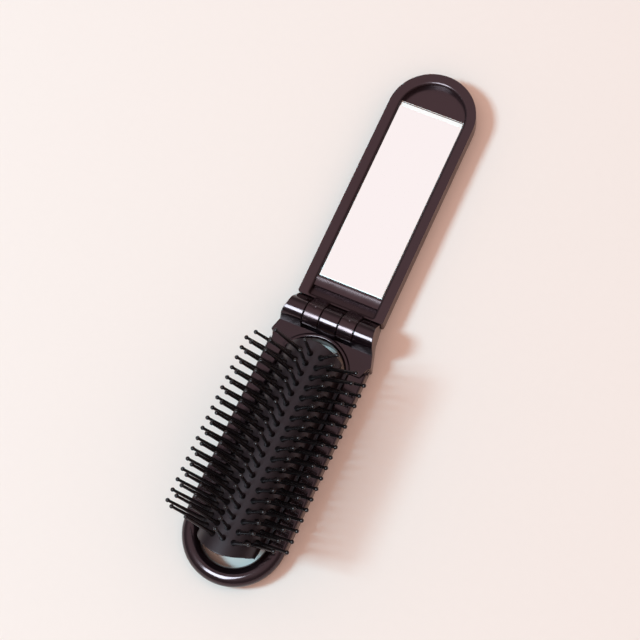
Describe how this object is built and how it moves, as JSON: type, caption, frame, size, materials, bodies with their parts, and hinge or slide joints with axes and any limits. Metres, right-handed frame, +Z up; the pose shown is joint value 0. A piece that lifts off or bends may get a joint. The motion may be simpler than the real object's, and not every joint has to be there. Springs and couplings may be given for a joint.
{
  "type": "folding hairbrush with mirror",
  "caption": "Folding hairbrush: an arched pad of ball-tipped pins in a hooped frame, hinged to a flat handle that holds a mirror and folds over the pins.",
  "frame": {"origin": "middle of the footprint, on the surface that the open brush lies on", "axes": "+X across the brush, +Y along it towards the mirror end, +Z up, the way the middle pins stand"},
  "size_m": [0.0508, 0.2238, 0.0373],
  "materials": {
    "black_gloss": "moulded black plastic, gloss",
    "black_satin": "moulded black plastic, satin",
    "black_pins": "flexible black nylon, satin",
    "black_flexible": "flexible black moulding, satin",
    "pin_steel": "drawn steel",
    "adhesive": "double-sided adhesive sheet",
    "mirror": "silvered glass"
  },
  "bodies": {
    "brush_half": {"brush_frame": "black_gloss", "rail_clip_left": "black_satin", "rail_clip_right": "black_satin", "pad_skirts": "black_flexible", "pad_webs": "black_flexible", "hinge_pin": "pin_steel"},
    "mirror_half": {"mirror_handle": "black_satin", "mirror_tape": "adhesive", "mirror_glass": "mirror"},
    "row_middle": {"pin_row_middle": "black_pins"},
    "row_left_1": {"pin_row_left_1": "black_pins"},
    "row_left_2": {"pin_row_left_2": "black_pins"},
    "row_left_3": {"pin_row_left_3": "black_pins"},
    "row_right_1": {"pin_row_right_1": "black_pins"},
    "row_right_2": {"pin_row_right_2": "black_pins"},
    "row_right_3": {"pin_row_right_3": "black_pins"}
  },
  "joints": [
    {"name": "mirror_fold", "type": "hinge", "parent": "brush_half", "child": "mirror_half", "pos_m": [0, -0.0026, 0.0104], "axis": [1, 0, 0], "range_deg": [0, 180]},
    {"name": "pad_pop", "type": "slide", "parent": "brush_half", "child": "row_middle", "axis": [0, 0, -1], "range_m": [0, 0.0239], "deforming": ["pad_webs", "pad_skirts"]},
    {"name": "row_left_1_turn", "type": "hinge", "parent": "brush_half", "child": "row_left_1", "pos_m": [-0.04745, -0.0026, 0.00759], "axis": [0, 1, 0], "range_deg": [0, 30]},
    {"name": "row_left_2_turn", "type": "hinge", "parent": "brush_half", "child": "row_left_2", "pos_m": [-0.03032, -0.0026, 0.00628], "axis": [0, 1, 0], "range_deg": [0, 50]},
    {"name": "row_left_3_turn", "type": "hinge", "parent": "brush_half", "child": "row_left_3", "pos_m": [-0.02735, -0.0026, 0.00542], "axis": [0, 1, 0], "range_deg": [0, 56]},
    {"name": "row_right_1_turn", "type": "hinge", "parent": "brush_half", "child": "row_right_1", "pos_m": [0.04745, -0.0026, 0.00759], "axis": [0, -1, 0], "range_deg": [0, 30]},
    {"name": "row_right_2_turn", "type": "hinge", "parent": "brush_half", "child": "row_right_2", "pos_m": [0.03032, -0.0026, 0.00628], "axis": [0, -1, 0], "range_deg": [0, 50]},
    {"name": "row_right_3_turn", "type": "hinge", "parent": "brush_half", "child": "row_right_3", "pos_m": [0.02735, -0.0026, 0.00542], "axis": [0, -1, 0], "range_deg": [0, 56]}
  ],
  "couplings": [
    {"joint": "pad_pop", "follows": "mirror_fold", "m_per_rad": 0.0076076},
    {"joint": "row_left_1_turn", "follows": "mirror_fold", "ratio": 0.16667},
    {"joint": "row_left_2_turn", "follows": "mirror_fold", "ratio": 0.27778},
    {"joint": "row_left_3_turn", "follows": "mirror_fold", "ratio": 0.31111},
    {"joint": "row_right_1_turn", "follows": "mirror_fold", "ratio": 0.16667},
    {"joint": "row_right_2_turn", "follows": "mirror_fold", "ratio": 0.27778},
    {"joint": "row_right_3_turn", "follows": "mirror_fold", "ratio": 0.31111}
  ]
}
